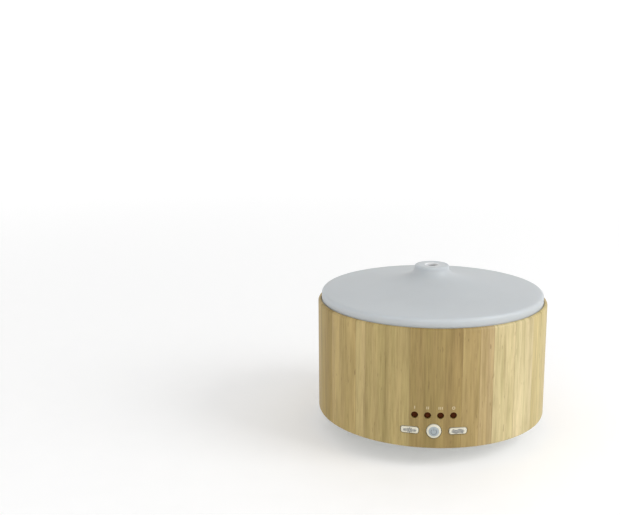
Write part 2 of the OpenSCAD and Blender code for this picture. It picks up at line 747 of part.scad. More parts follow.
module main_board_screws() color("silver") at_board_posts() translate([0, 0, board_z1])
    rotate([180, 0, 0]) screw_up(small_screw, board_t + 5);

// ---- control panel ----

module panel_carrier() color("white") difference() {
    union() {
        translate([-panel_w / 2, -panel_d1, plate_z1]) cube([panel_w, panel_t, panel_z1 - plate_z1]);
        at_panel_posts() translate([0, 0, panel_board_d1])
            cylinder(r = panel_post_r, h = panel_d0 - panel_board_d1 + 0.5);
    }
    for (i = [0:2]) facing_front(button_x[i], panel_d0 - 1, button_z)
        linear_extrude(panel_t + 2) button_outline(i, press_gap);
    at_windows() translate([0, 0, panel_d0 - 1]) cylinder(d = window_d, h = panel_t + 2);
    at_panel_posts() translate([0, 0, panel_board_d1 - 1]) cylinder(r = small_screw[0] + thread_gap, h = 6);
}

module panel_board() color("darkgreen") difference() {
    translate([-panel_board_w / 2, -panel_board_d1, panel_board_z[0]])
        cube([panel_board_w, panel_board_t, panel_board_z[1] - panel_board_z[0]]);
    at_panel_posts() translate([0, 0, panel_board_d1 - panel_board_t - 1])
        cylinder(r = small_screw[0] + 0.25, h = panel_board_t + 2);
}

module panel_screws() color("silver") at_panel_posts() translate([0, 0, panel_board_d1 - panel_board_t])
    screw_up(small_screw, 5.5);

module tact_switches() color("silver") for (x = button_x) facing_front(x, panel_board_d1, button_z)
    difference() {
        translate([-switch_size[0] / 2, -switch_size[1] / 2, 0])
            cube([switch_size[0], switch_size[1], switch_size[2]]);
        translate([0, 0, switch_size[2] - plunger_well]) cylinder(r = plunger_r + 0.1, h = plunger_well + 1);
    }

module plunger(i) color("black") facing_front(button_x[i], panel_board_d1 + switch_size[2], button_z)
    translate([0, 0, 0.3 + button_travel - plunger_well])
        cylinder(r = plunger_r, h = plunger_stand + plunger_well - 0.3 - button_travel);

module light_plunger() plunger(0);
module power_plunger() plunger(1);
module mist_plunger() plunger(2);

// A button: a cap that follows the sleeve's curve, a stem and a flange behind the carrier
module button(i) {
    intersection() {
        facing_front(button_x[i], button_back_d, button_z) linear_extrude(30) button_outline(i);
        cylinder(r = sleeve_r + button_proud, h = sleeve_z1);
    }
    facing_front(button_x[i], button_back_d, button_z)
        linear_extrude(button_flange_t) button_outline(i, flange_step);
}

module light_button() color("lightsteelblue") button(0);
module power_button() color("lightsteelblue") button(1);
module mist_button() color("lightsteelblue") button(2);

// Domed 3 mm lamps on stepped collars
module indicator_leds() color("azure") at_windows() translate([0, 0, panel_board_d1]) {
    cylinder(r = 1.9, h = 1);
    cylinder(r = 1.5, h = led_h - 1.5);
    translate([0, 0, led_h - 1.5]) intersection() {
        sphere(1.5);
        translate([0, 0, -0.1]) cylinder(r = 2, h = 2);
    }
}

// One clear moulding: a bar on the carrier with four pegs that fill the windows
module light_guide() color("saddlebrown") {
    translate([-1.5 * window_pitch - 3.4, -panel_d1 - guide_t, window_z - 3.2])
        cube([3 * window_pitch + 6.8, guide_t, 6.4]);
    intersection() {
        at_windows() translate([0, 0, panel_d1 + guide_t - 0.2]) cylinder(d = window_d - 0.3, h = 20);
        cylinder(r = sleeve_r - window_recess, h = sleeve_z1);
    }
}

// ---- leads ----

module atomiser_leads() color("red") lead_pair(atomiser_route, [2.4, 0, 0]);
module fan_leads() color("gold") lead_pair(fan_route, [1, 1.3, 0]);
module mood_light_leads() color("white") lead_pair(mood_route, [0, 2.4, 0]);
module panel_leads() color("gray") lead_pair(panel_route, [2.4, 0, 0]);

lid();
inner_cover();
wood_sleeve();
water_tank();
air_tower_cap();
base_shell();
rubber_feet();
base_screws();
atomiser_disc();
atomiser_seal();
atomiser_clamp();
clamp_screws();
mood_light_board();
mood_leds();
mood_board_screws();
fan_frame();
fan_stator();
fan_rotor();
fan_gasket();
fan_screws();
main_board();
dc_jack();
jack_pin();
power_transistor();
heat_sink();
inductors();
capacitors();
driver_chips();
board_headers();
main_board_screws();
panel_carrier();
panel_board();
tact_switches();
indicator_leds();
light_guide();
panel_screws();
light_button();
power_button();
mist_button();
light_plunger();
power_plunger();
mist_plunger();
atomiser_leads();
fan_leads();
mood_light_leads();
panel_leads();
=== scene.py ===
"""Essential oil diffuser: a bamboo sleeve with a frosted lid over a white water tank.

Lengths in the named values are millimetres, and every mesh is in metres, in the frame of the CAD part:
+Z up, the buttons on the -Y side, the origin on the table under the middle of the body.
"""
import json

import bpy
import numpy as np
from mathutils import Matrix, Vector


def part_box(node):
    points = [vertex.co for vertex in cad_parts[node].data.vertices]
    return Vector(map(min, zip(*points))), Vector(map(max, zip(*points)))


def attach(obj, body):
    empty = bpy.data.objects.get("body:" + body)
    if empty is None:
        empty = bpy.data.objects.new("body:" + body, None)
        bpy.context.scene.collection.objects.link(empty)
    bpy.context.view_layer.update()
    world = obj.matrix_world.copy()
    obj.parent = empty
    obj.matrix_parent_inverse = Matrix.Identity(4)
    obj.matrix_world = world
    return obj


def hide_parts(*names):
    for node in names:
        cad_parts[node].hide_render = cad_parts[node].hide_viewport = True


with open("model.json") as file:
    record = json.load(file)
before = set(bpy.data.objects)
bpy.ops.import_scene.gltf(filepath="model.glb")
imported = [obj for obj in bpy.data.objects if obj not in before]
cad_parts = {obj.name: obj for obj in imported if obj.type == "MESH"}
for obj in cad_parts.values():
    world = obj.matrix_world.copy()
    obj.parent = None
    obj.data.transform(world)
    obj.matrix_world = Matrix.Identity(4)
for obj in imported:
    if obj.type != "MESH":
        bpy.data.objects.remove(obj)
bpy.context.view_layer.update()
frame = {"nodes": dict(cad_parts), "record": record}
MM = 0.001


def node_box(node):
    """A CAD node's lowest and highest corners, in millimetres."""
    low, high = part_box(node)
    return np.array(low) / MM, np.array(high) / MM


# ---- places taken from the CAD part ----

SLEEVE_LOW, SLEEVE_HIGH = node_box("wood_sleeve")
SLEEVE_R = SLEEVE_HIGH[0]
SLEEVE_Z = SLEEVE_LOW[2], SLEEVE_HIGH[2]
LID_LOW, LID_HIGH = node_box("lid")
LID_R = LID_HIGH[0]
TANK_R = node_box("water_tank")[1][0]
BASE_R = node_box("base_shell")[1][0]
DISC_R = node_box("atomiser_disc")[1][0]
JACK_LOW, JACK_HIGH = node_box("dc_jack")
GUIDE_LOW, GUIDE_HIGH = node_box("light_guide")
BUTTONS = {name: node_box(f"{name}_button") for name in ("light", "power", "mist")}

# ---- sizes of the visible surfaces ----

SLEEVE_WALL = 5.0
SLEEVE_LIP = 2.2
SLEEVE_TOP_ROUND = 2.0
SLEEVE_FOOT_ROUND = 1.0
SLEEVE_TOP_STEP = 4.0
SLEEVE_FOOT_STEP = 2.5
BASE_GAP = 0.3
SMALL_FILLET = 0.3
LID_WALL = 2.2
LID_SHOULDER = 104.3
LID_SHOULDER_ROUND = 2.6
DOME_RISE = 8.8
DOME_POWER = 1.2
SPOUT_R = 12.7
SPOUT_RISE = 9.2
SPOUT_ROUND = 1.6
FLARE_REACH = 4.8
FLARE_POWER = 0.6
OUTLET_R = 4.5
LID_SEAT = 1.7
LID_FOOT_ROUND = 0.5
LOCATOR_INSET = 7.0
LOCATOR_EDGE = 0.6
BUTTON_FLANGE = 1.2
BUTTON_PROUD = 0.8
BUTTON_CORNER = 1.6
BUTTON_GAP = 0.35
WINDOW_R = 2.35
WINDOW_PITCH = 8.65
INLET_R = 5.5
BUTTON_EDGE = 1.0
BUTTON_FLANGE_DEPTH = 1.2
SIGN_LINE = 0.42
MARK_RISE = 5.4
PEG_CLEARANCE = 0.15
GUIDE_THICKNESS = 1.5

# ---- mesh helpers ----


def piece(name, points, faces, smooth=True):
    """A mesh object from points in millimetres and faces as lists of point numbers."""
    mesh = bpy.data.meshes.new(name)
    mesh.from_pydata((np.asarray(points) * MM).tolist(), [], [list(map(int, f)) for f in faces])
    if smooth:
        mesh.shade_smooth()
    else:
        mesh.shade_flat()
    mesh.validate()
    made = bpy.data.objects.new(name, mesh)
    bpy.context.scene.collection.objects.link(made)
    return made


def grid_faces(rows, columns, wrap_rows=False, wrap_columns=False):
    """The four-cornered faces of a rows x columns grid of points, closed on itself where asked."""
    r = np.arange(rows if wrap_rows else rows - 1)
    c = np.arange(columns if wrap_columns else columns - 1)
    r, c = np.meshgrid(r, c, indexing="ij")
    r1, c1 = (r + 1) % rows, (c + 1) % columns
    corners = np.stack([r * columns + c, r * columns + c1, r1 * columns + c1, r1 * columns + c], axis=-1)
    return corners.reshape(-1, 4)


def filleted(corners, steps=6):
    """A closed outline through corners (x, y, radius), each corner an arc tangent to both its sides."""
    out = []
    count = len(corners)
    for i, (x, y, radius) in enumerate(corners):
        here = np.array([x, y], float)
        before = np.array(corners[i - 1][:2], float) - here
        after = np.array(corners[(i + 1) % count][:2], float) - here
        a, b = before / np.linalg.norm(before), after / np.linalg.norm(after)
        half = np.arccos(np.clip(a @ b, -1, 1)) / 2
        if radius <= 0 or half > np.radians(88):
            out.append(here[None])
            continue
        reach = radius / np.tan(half)
        middle = here + (a + b) / np.linalg.norm(a + b) * radius / np.sin(half)
        start, end = here + a * reach - middle, here + b * reach - middle
        angle = np.arctan2(start[1], start[0])
        turn = np.arctan2(start[0] * end[1] - start[1] * end[0], start @ end)
        t = angle + turn * np.linspace(0, 1, steps + 1)
        out.append(middle + radius * np.stack([np.cos(t), np.sin(t)], axis=-1))
    return np.concatenate(out)


def revolved(name, outline, count=192):
    """A closed outline (r, z), drawn counter-clockwise, turned a full turn about a vertical axis.

    Point (i, k) is (r_k cos t_i, r_k sin t_i, z_k) with t_i = 2 pi i / count.
    """
    outline = np.asarray(outline, float)
    t = 2 * np.pi * np.arange(count) / count
    r, z = outline[:, 0], outline[:, 1]
    points = np.stack([
        np.cos(t)[:, None] * r,
        np.sin(t)[:, None] * r,
        np.broadcast_to(z, (count, len(z))),
    ], axis=-1).reshape(-1, 3)
    return piece(name, points, grid_faces(count, len(z), True, True)[:, ::-1])


def loop_stack(name, loops, smooth=True):
    """A solid from a stack of loops of equal length, (layer, point, xyz), with both ends closed flat."""
    loops = np.asarray(loops, float)
    layers, count = loops.shape[:2]
    faces = grid_faces(layers, count, False, True).tolist()
    faces.append(list(range(count))[::-1])
    faces.append(list(range((layers - 1) * count, layers * count)))
    return piece(name, loops.reshape(-1, 3), faces, smooth)


def facing_front(outline, x, z, depth):
    """An outline (across, up) stood up at (x, z) to face the front, depth millimetres out from the axis."""
    outline = np.asarray(outline, float)
    depth = np.broadcast_to(depth, len(outline))
    return np.stack([x + outline[:, 0], -depth, z + outline[:, 1]], axis=-1)


def rounded_box(width, height, radius, steps=8):
    """Outline of a rectangle with round corners, centred and counter-clockwise."""
    w, h = width / 2, height / 2
    return filleted([(w, -h, radius), (w, h, radius), (-w, h, radius), (-w, -h, radius)], steps)


def circle(radius, count=64):
    """Outline of a circle, counter-clockwise."""
    t = 2 * np.pi * np.arange(count) / count
    return radius * np.stack([np.cos(t), np.sin(t)], axis=-1)


def outward(made):
    """Turns a closed piece's faces outwards."""
    bpy.context.view_layer.objects.active = made
    bpy.ops.object.select_all(action="DESELECT")
    made.select_set(True)
    bpy.ops.object.mode_set(mode="EDIT")
    bpy.ops.mesh.select_all(action="SELECT")
    bpy.ops.mesh.normals_make_consistent(inside=False)
    bpy.ops.object.mode_set(mode="OBJECT")
    return made


def cut(made, cutters):
    """Takes the cutters' shapes away from a piece, then removes the cutters."""
    for tool in cutters:
        outward(tool)
        step = made.modifiers.new("cut", "BOOLEAN")
        step.operation, step.solver, step.object = "DIFFERENCE", "EXACT", tool
        bpy.context.view_layer.objects.active = made
        bpy.ops.object.modifier_apply(modifier=step.name)
        bpy.data.objects.remove(tool)
    return made


def soften_edges(made, width, angle=40, segments=2):
    """Rounds the edges sharper than the angle, with hardened normals beside the rounds."""
    step = made.modifiers.new("edges", "BEVEL")
    step.width, step.segments, step.limit_method = width * MM, segments, "ANGLE"
    step.angle_limit = np.radians(angle)
    step.harden_normals = True
    return made


def joined(name, parts):
    """Several pieces made into one."""
    bpy.ops.object.select_all(action="DESELECT")
    for part in parts:
        part.select_set(True)
    bpy.context.view_layer.objects.active = parts[0]
    bpy.ops.object.join()
    parts[0].name = parts[0].data.name = name
    return parts[0]


# ---- material helpers ----


class Finish:
    """A node material whose numbers sit on the Principled shader's own sockets."""

    def __init__(self, name, colour, roughness, **sockets):
        self.material = bpy.data.materials.new(name)
        self.material.use_nodes = True
        self.tree = self.material.node_tree
        self.shader = self.tree.nodes["Principled BSDF"]
        self.shader.inputs["Base Color"].default_value = (*colour, 1)
        self.shader.inputs["Roughness"].default_value = roughness
        for socket, value in sockets.items():
            self.shader.inputs[socket.replace("_", " ")].default_value = value
        self.material.diffuse_color = (*colour, 1)

    def add(self, kind, **settings):
        """A node with its properties and its input values set by name or number; a socket is linked."""
        node = self.tree.nodes.new("ShaderNode" + kind)
        inputs = settings.pop("inputs", {})
        for key, value in settings.items():
            setattr(node, key, value)
        for key, value in inputs.items():
            if isinstance(value, bpy.types.NodeSocket):
                self.tree.links.new(value, node.inputs[key])
            else:
                node.inputs[key].default_value = value
        return node

    def maths(self, operation, a, b=0.0, c=0.0):
        """The result of one arithmetic node."""
        return self.add("Math", operation=operation, inputs={0: a, 1: b, 2: c}).outputs[0]

    def place(self):
        """The object's own coordinates, in metres."""
        return self.add("TexCoord").outputs["Object"]

    def noise(self, vector, scale, detail=3.0, rough=0.55, distortion=0.0):
        """Fractal noise of a vector, from 0 to 1."""
        node = self.add("TexNoise", inputs={
            "Vector": vector, "Scale": scale, "Detail": detail, "Roughness": rough, "Distortion": distortion})
        return node.outputs["Fac"]

    def stretched(self, vector, scale):
        """A vector with each axis multiplied by its own number."""
        return self.add("VectorMath", operation="MULTIPLY", inputs={0: vector, 1: scale}).outputs["Vector"]

    def ramp(self, value, stops, interpolation="LINEAR"):
        """A colour or a number picked along a ramp of (position, colour) stops."""
        node = self.add("ValToRGB", inputs={"Fac": value})
        band = node.color_ramp
        band.interpolation = interpolation
        while len(band.elements) < len(stops):
            band.elements.new(0.5)
        for element, (position, colour) in zip(band.elements, stops):
            element.position = position
            element.color = (*colour, 1) if isinstance(colour, tuple) else (colour, colour, colour, 1)
        return node.outputs["Color"]

    def blend(self, amount, a, b, kind="MIX"):
        """Two colours mixed."""
        node = self.add("Mix", data_type="RGBA", blend_type=kind)
        for key, value in ((0, amount), (6, a), (7, b)):
            if isinstance(value, bpy.types.NodeSocket):
                self.tree.links.new(value, node.inputs[key])
            else:
                node.inputs[key].default_value = (*value, 1) if isinstance(value, tuple) else value
        return node.outputs[2]

    def wire(self, socket, value):
        """Feeds a shader socket from another node."""
        self.tree.links.new(value, self.shader.inputs[socket])
        return self

    def bump(self, height, distance, strength=1.0):
        """Surface relief, distance in millimetres."""
        node = self.add("Bump", inputs={"Height": height, "Distance": distance * MM, "Strength": strength})
        self.tree.links.new(node.outputs["Normal"], self.shader.inputs["Normal"])
        return self


def srgb(red, green, blue):
    """A screen colour, each channel 0 to 255, as linear light."""
    c = np.array([red, green, blue]) / 255
    return tuple(float(v) for v in np.where(c <= 0.04045, c / 12.92, ((c + 0.055) / 1.055) ** 2.4))


def dress(made, finish):
    """Gives a piece or a CAD node one material."""
    made.data.materials.clear()
    made.data.materials.append(finish.material)
    return made


# ---- the bamboo sleeve ----


def sleeve():
    """The bamboo ring: a filleted wall section turned round the axis, then drilled for the controls."""
    low, high = SLEEVE_Z
    inside = SLEEVE_R - SLEEVE_WALL
    outline = filleted([
        (BASE_R + BASE_GAP, low, SMALL_FILLET),
        (SLEEVE_R, low, SLEEVE_FOOT_ROUND),
        (SLEEVE_R, high, SLEEVE_TOP_ROUND),
        (SLEEVE_R - SLEEVE_LIP, high, 0.1),
        (SLEEVE_R - SLEEVE_LIP, high - SLEEVE_TOP_STEP, 0),
        (inside, high - SLEEVE_TOP_STEP, SMALL_FILLET),
        (inside, low + SLEEVE_FOOT_STEP, SMALL_FILLET),
        (BASE_R + BASE_GAP, low + SLEEVE_FOOT_STEP, 0),
    ], 10)
    wall = outward(revolved("bamboo_sleeve", outline, 256))
    cutters = []
    for name in BUTTONS:
        cutters.append(front_cutter(button_outline(name, BUTTON_GAP), *button_middle(name)))
    for x in window_places():
        cutters.append(front_cutter(circle(WINDOW_R, 40), x, window_height()))
    inlet = (JACK_LOW + JACK_HIGH) / 2
    cutters.append(front_cutter(circle(INLET_R, 64), 0, inlet[2], behind=True))
    cut(wall, cutters)
    soften_edges(wall, 0.3)
    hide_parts("wood_sleeve")
    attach(wall, "housing")
    return wall


def front_cutter(outline, x, z, behind=False):
    """A bar of the outline's shape that runs through the sleeve's wall, at the front or behind."""
    near, far = SLEEVE_R - 12, SLEEVE_R + 8
    if behind:
        near, far = -near, -far
    return loop_stack("cutter", [facing_front(outline, x, z, near), facing_front(outline, x, z, far)], False)


def button_middle(name):
    """Where a button sits: its place across the front and its height."""
    low, high = BUTTONS[name]
    return (low[0] + high[0]) / 2, (low[2] + high[2]) / 2


def button_outline(name, grow=0.0):
    """A button's outline, round in the middle and a round-cornered bar at the sides, grown by a margin."""
    low, high = BUTTONS[name]
    width, height = high[0] - low[0] - 2 * BUTTON_FLANGE, high[2] - low[2] - 2 * BUTTON_FLANGE
    if name == "power":
        return circle(width / 2 + grow, 72)
    return rounded_box(width + 2 * grow, height + 2 * grow, BUTTON_CORNER + grow)


def window_places():
    """Where the four indicator windows sit across the front."""
    return WINDOW_PITCH * (np.arange(4) - 1.5)


def window_height():
    """How high the indicator windows sit."""
    return (GUIDE_LOW[2] + GUIDE_HIGH[2]) / 2


# ---- the lid ----


def lid_height(r):
    """Height of the lid's outer surface at radius r.

    A shallow dome, and a stretched exponential that flares up to the spout and meets it upright.
    """
    dome = DOME_RISE * (1 - (r / (LID_R - LID_SHOULDER_ROUND)) ** DOME_POWER)
    beyond = np.maximum(r - SPOUT_R, 0) / FLARE_REACH
    return LID_SHOULDER + dome + SPOUT_RISE * np.exp(-beyond ** FLARE_POWER)


def arc(centre, radius, start, end, steps):
    """Points of a circular arc, angles in degrees."""
    t = np.radians(np.linspace(start, end, steps + 1))
    return np.array(centre) + radius * np.stack([np.cos(t), np.sin(t)], axis=-1)


def lid():
    """The frosted lid: its section runs up the side, over the dome and spout, and back along the inside."""
    dome_r = LID_R - LID_SHOULDER_ROUND
    r = SPOUT_R + (dome_r - SPOUT_R) * np.linspace(0, 1, 90) ** 2.6
    outer = np.stack([r, lid_height(r)], axis=-1)
    slope = np.arctan2(lid_height(r - 0.05) - lid_height(r + 0.05), 0.1)
    inner = outer - LID_WALL * np.stack([np.sin(slope), np.cos(slope)], axis=-1)
    shoulder = (dome_r, LID_SHOULDER - LID_SHOULDER_ROUND)
    tilt = 90 - np.degrees(slope[-1])
    top = lid_height(SPOUT_R) + SPOUT_ROUND
    side_foot = SLEEVE_Z[1] - LID_SEAT
    ring_r, ring_foot = TANK_R - LOCATOR_INSET, LID_LOW[2]
    ring_ri = ring_r - LID_WALL
    outlet = filleted([(SPOUT_R, top, 0), (OUTLET_R, top, 0.8), (OUTLET_R, top - LID_WALL, 0.5),
                       (SPOUT_R, top - LID_WALL, 0)])[1:-1]
    under = inner[inner[:, 1] < top - LID_WALL - 0.05]
    within, beyond = under[under[:, 0] < ring_ri - 0.4], under[under[:, 0] > ring_r + 0.4]
    ring_top = np.interp(ring_r, inner[:, 0], inner[:, 1])
    outline = np.concatenate([
        arc((LID_R - LID_FOOT_ROUND, side_foot + LID_FOOT_ROUND), LID_FOOT_ROUND, -90, 0, 4),
        arc(shoulder, LID_SHOULDER_ROUND, 0, tilt, 14),
        outer[::-1],
        arc((SPOUT_R - SPOUT_ROUND, top - SPOUT_ROUND), SPOUT_ROUND, 8, 90, 12),
        outlet,
        within,
        [[ring_ri, ring_top], [ring_ri, ring_foot + LOCATOR_EDGE], [ring_ri + LOCATOR_EDGE, ring_foot],
         [ring_r - LOCATOR_EDGE, ring_foot], [ring_r, ring_foot + LOCATOR_EDGE], [ring_r, ring_top]],
        beyond,
        arc(shoulder, LID_SHOULDER_ROUND - LID_WALL, tilt, 0, 4),
        [[LID_R - LID_WALL, side_foot]],
    ])
    shell = outward(revolved("frosted_lid", outline, 256))
    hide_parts("lid")
    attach(shell, "lid")
    return shell


# ---- buttons, windows and marks ----


def button(name):
    """A push button: flange, stem and a crowned cap whose face follows the sleeve's curve."""
    x, z = button_middle(name)
    back = -BUTTONS[name][1][1]
    face_r = SLEEVE_R + BUTTON_PROUD
    stem = back + BUTTON_FLANGE_DEPTH
    layers = []
    for grow, depth in ((BUTTON_FLANGE, back), (BUTTON_FLANGE, stem), (0, stem)):
        layers.append(facing_front(button_outline(name, grow), x, z, depth))
    for t in np.radians(np.linspace(0, 90, 9)):
        outline = button_outline(name, -BUTTON_EDGE * (1 - np.cos(t)))
        depth = np.sqrt(face_r ** 2 - (x + outline[:, 0]) ** 2) - BUTTON_EDGE * (1 - np.sin(t))
        layers.append(facing_front(outline, x, z, depth))
    outer = button_outline(name, -BUTTON_EDGE)
    for shrink in (0.75, 0.5, 0.25, 0.05):
        outline = outer * shrink
        depth = np.sqrt(face_r ** 2 - (x + outline[:, 0]) ** 2) + 0.06 * (1 - shrink)
        layers.append(facing_front(outline, x, z, depth))
    cap = outward(loop_stack(f"{name}_button_cap", layers))
    soften_edges(cap, 0.12)
    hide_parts(f"{name}_button")
    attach(cap, f"{name}_button")
    return cap


def button_pads():
    """The printed fields in the middle of the buttons, a hair proud of the cream face."""
    face_r = SLEEVE_R + BUTTON_PROUD
    for name in BUTTONS:
        x, z = button_middle(name)
        field = circle(3.5, 64) if name == "power" else rounded_box(8.8, 2.1, 1.0)
        layers = []
        for shrink, rise in ((1.0, -0.25), (1.0, 0.02), (0.985, 0.05), (0.6, 0.08), (0.3, 0.09), (0.05, 0.1)):
            outline = field * shrink
            depth = np.sqrt(face_r ** 2 - (x + outline[:, 0]) ** 2) + rise
            layers.append(facing_front(outline, x, z, depth))
        pad = outward(loop_stack(f"{name}_button_pad", layers))
        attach(pad, f"{name}_button")
        yield name, pad


def stroke(name, path, width, x, z, surface_r, closed=False, lift=0.05):
    """A printed line of the given width: a flat band along a path (across, up), laid on a cylinder.

    Each ring of the band has four corners, half a width to either side of the path and a hair
    below and above the surface of radius surface_r.
    """
    path = np.asarray(path, float)
    if closed:
        along = np.roll(path, -1, axis=0) - np.roll(path, 1, axis=0)
    else:
        along = np.gradient(path, axis=0)
    along /= np.linalg.norm(along, axis=1, keepdims=True)
    side = np.stack([-along[:, 1], along[:, 0]], axis=-1) * width / 2
    rings = []
    for direction, rise in ((1, -0.12), (-1, -0.12), (-1, lift), (1, lift)):
        flat = path + direction * side
        depth = np.sqrt(surface_r ** 2 - (x + flat[:, 0]) ** 2) + rise
        rings.append(np.stack([x + flat[:, 0], -depth, z + flat[:, 1]], axis=-1))
    rings = np.stack(rings, axis=1)
    faces = grid_faces(len(path), 4, closed, True).tolist()
    if not closed:
        last = 4 * (len(path) - 1)
        faces += [[0, 1, 2, 3], [last + 3, last + 2, last + 1, last]]
    return outward(piece(name, rings.reshape(-1, 3), faces, False))


def line(x0, y0, x1, y1, steps=8):
    """A straight path between two points."""
    return np.linspace([x0, y0], [x1, y1], steps + 1)


def wave(width, height, y, turns=1.5):
    """A level sine wave, centred across at the height y."""
    t = np.linspace(-0.5, 0.5, 33)
    return np.stack([width * t, y + height * np.sin(2 * np.pi * turns * t)], axis=-1)


def button_signs():
    """The icons on the buttons: a sun, a power sign and three waves of mist."""
    face = SLEEVE_R + BUTTON_PROUD + 0.08
    signs = {
        "light": [(0.95 * circle(1, 32), True)] + [
            (line(*(1.35 * np.array([c, s])), *(1.9 * np.array([c, s]))), False)
            for c, s in circle(1, 8)] + [
            (line(px, -0.55, px, 0.55), False) for px in (-3.9, -3.1, 3.1, 3.9)],
        "power": [(arc((0, -0.2), 1.9, 125, 415, 36), False), (line(0, 0.4, 0, 2.3), False)],
        "mist": [(wave(7.0, 0.32, y), False) for y in (-1.0, 0.0, 1.0)],
    }
    for name, paths in signs.items():
        x, z = button_middle(name)
        parts = [stroke("sign", path, SIGN_LINE, x, z, face, closed) for path, closed in paths]
        sign = joined(f"{name}_sign", parts)
        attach(sign, f"{name}_button")
        yield sign


def window_marks():
    """Pale marks over the windows: one, two and three bars for timed runs, and a ring for always on."""
    z = window_height() + MARK_RISE
    for count, x in enumerate(window_places(), 1):
        if count < 4:
            offsets = 1.15 * (np.arange(count) - (count - 1) / 2)
            parts = [stroke("mark", line(u, -0.95, u, 0.95), 0.5, x, z, SLEEVE_R) for u in offsets]
        else:
            parts = [stroke("mark", circle(0.85, 32), 0.45, x, z, SLEEVE_R, True)]
        mark = joined(f"window_mark_{count}", parts)
        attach(mark, "housing")
        yield mark


def light_guide():
    """The smoked bar behind the panel, with four domed pegs that show in the windows."""
    x0, x1, z0, z1 = GUIDE_LOW[0], GUIDE_HIGH[0], GUIDE_LOW[2], GUIDE_HIGH[2]
    back, front = -GUIDE_HIGH[1], -GUIDE_HIGH[1] + GUIDE_THICKNESS
    bar = rounded_box(x1 - x0, z1 - z0, 1.2)
    z = window_height()
    parts = [loop_stack("bar", [facing_front(bar, 0, z, back), facing_front(bar, 0, z, front)])]
    peg_r = WINDOW_R - PEG_CLEARANCE
    for x in window_places():
        face = np.sqrt((SLEEVE_R - 1) ** 2 - x ** 2) - 0.5
        layers = [facing_front(circle(peg_r, 40), x, z, front - 0.2)]
        for t in np.radians(np.linspace(0, 88, 9)):
            layers.append(facing_front(circle(peg_r * np.cos(t), 40), x, z, face + 0.5 * np.sin(t)))
        parts.append(loop_stack("peg", layers))
    guide = joined("indicator_guide", [outward(part) for part in parts])
    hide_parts("light_guide")
    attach(guide, "housing")
    return guide


# ---- finishes ----


# Where each strip of bamboo starts, in degrees round from the front, and its tone
BAMBOO_STRIPS = [
    (-180, (184, 161, 110)), (-153, (174, 150, 98)), (-124, (188, 165, 114)), (-98, (171, 147, 94)),
    (-74, (159, 135, 78)), (-58, (173, 150, 97)), (-40, (177, 156, 107)), (-35, (166, 146, 96)),
    (-12, (149, 127, 77)), (4, (149, 126, 77)), (12, (165, 142, 93)), (20, (170, 147, 103)),
    (24, (166, 144, 102)), (28, (191, 175, 131)), (40, (197, 181, 139)), (54, (188, 170, 119)),
    (80, (176, 153, 102)), (106, (188, 166, 115)), (131, (170, 147, 95)), (157, (181, 158, 106)),
]


